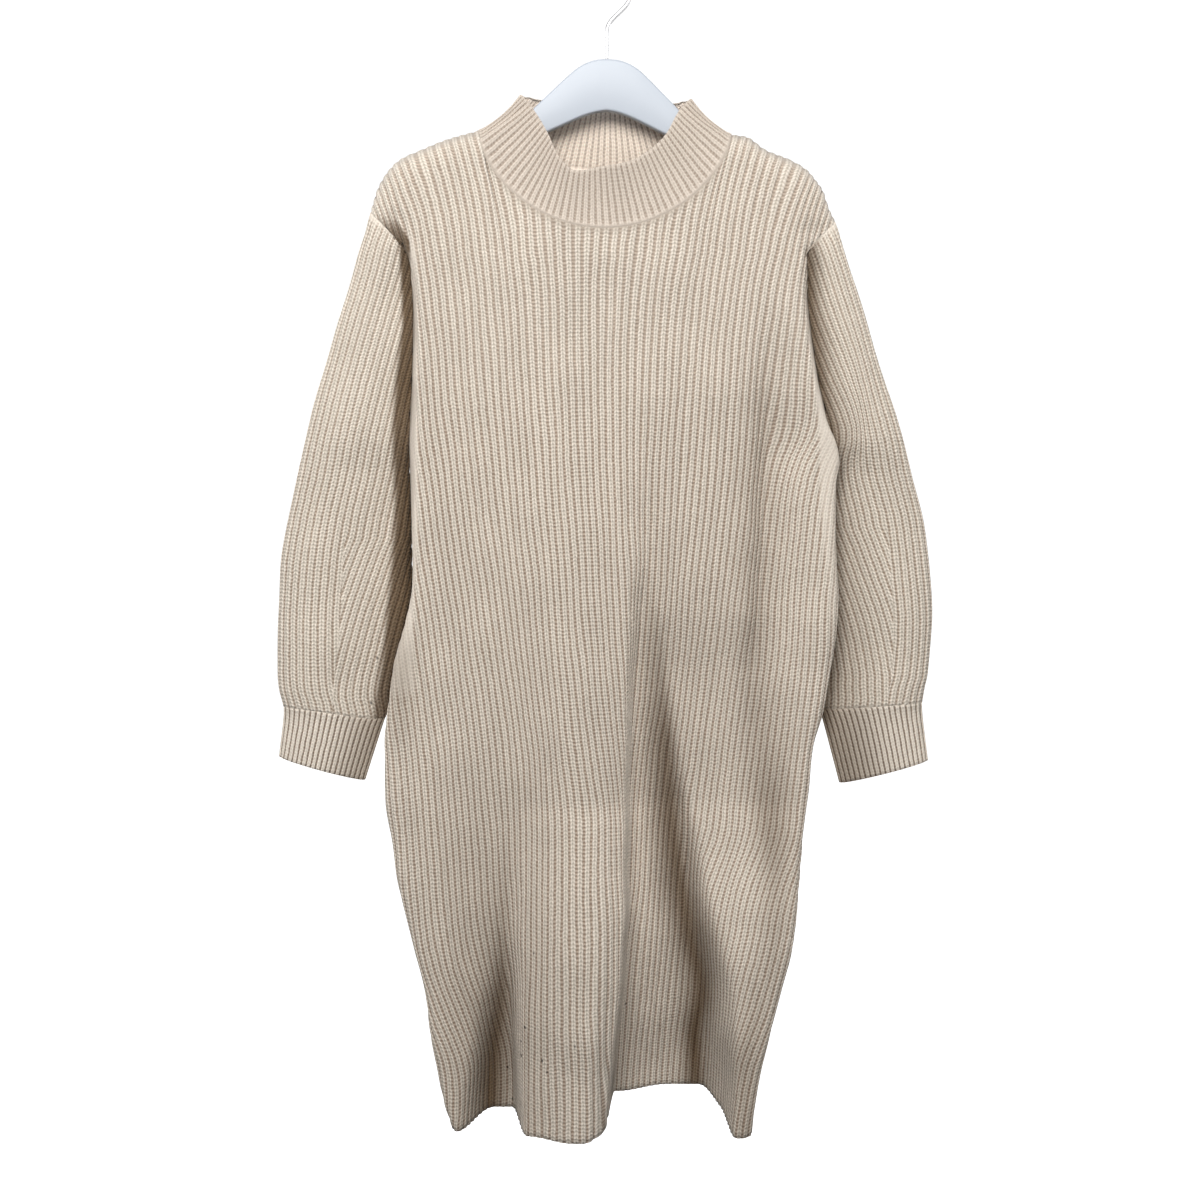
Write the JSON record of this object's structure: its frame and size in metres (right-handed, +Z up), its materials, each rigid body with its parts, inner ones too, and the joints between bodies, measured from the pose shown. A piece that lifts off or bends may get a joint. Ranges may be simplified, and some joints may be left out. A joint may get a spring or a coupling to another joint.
{
  "type": "sweater dress on a hanger",
  "caption": "Long ribbed-knit sweater dress with a mock-neck collar and full sleeves gathered into ribbed cuffs, hanging in soft folds on a flat hanger with a wire hook.",
  "frame": {"origin": "the highest point inside the hook's loop, where the hook rests on its rail", "axes": "+X to the viewer's right, +Y away from the viewer, from the front panel to the back panel, +Z up; the dress hangs along -Z"},
  "size_m": [0.6617, 0.17, 1.162],
  "materials": {
    "rib_knit_body": "chunky ribbed knit, matt and slightly fuzzy",
    "rib_knit_sleeve": "chunky ribbed knit, matt and slightly fuzzy",
    "fine_rib": "finer ribbed knit, matt",
    "white_hanger": "smooth white lacquer",
    "hook_wire": "bright plated wire"
  },
  "bodies": {
    "root": {"front": "rib_knit_body", "back": "rib_knit_body", "sleeve_left": "rib_knit_sleeve", "sleeve_right": "rib_knit_sleeve", "cuff_left": "fine_rib", "cuff_right": "fine_rib", "collar": "fine_rib", "hanger_body": "white_hanger", "hanger_hook": "hook_wire"}
  },
  "joints": []
}
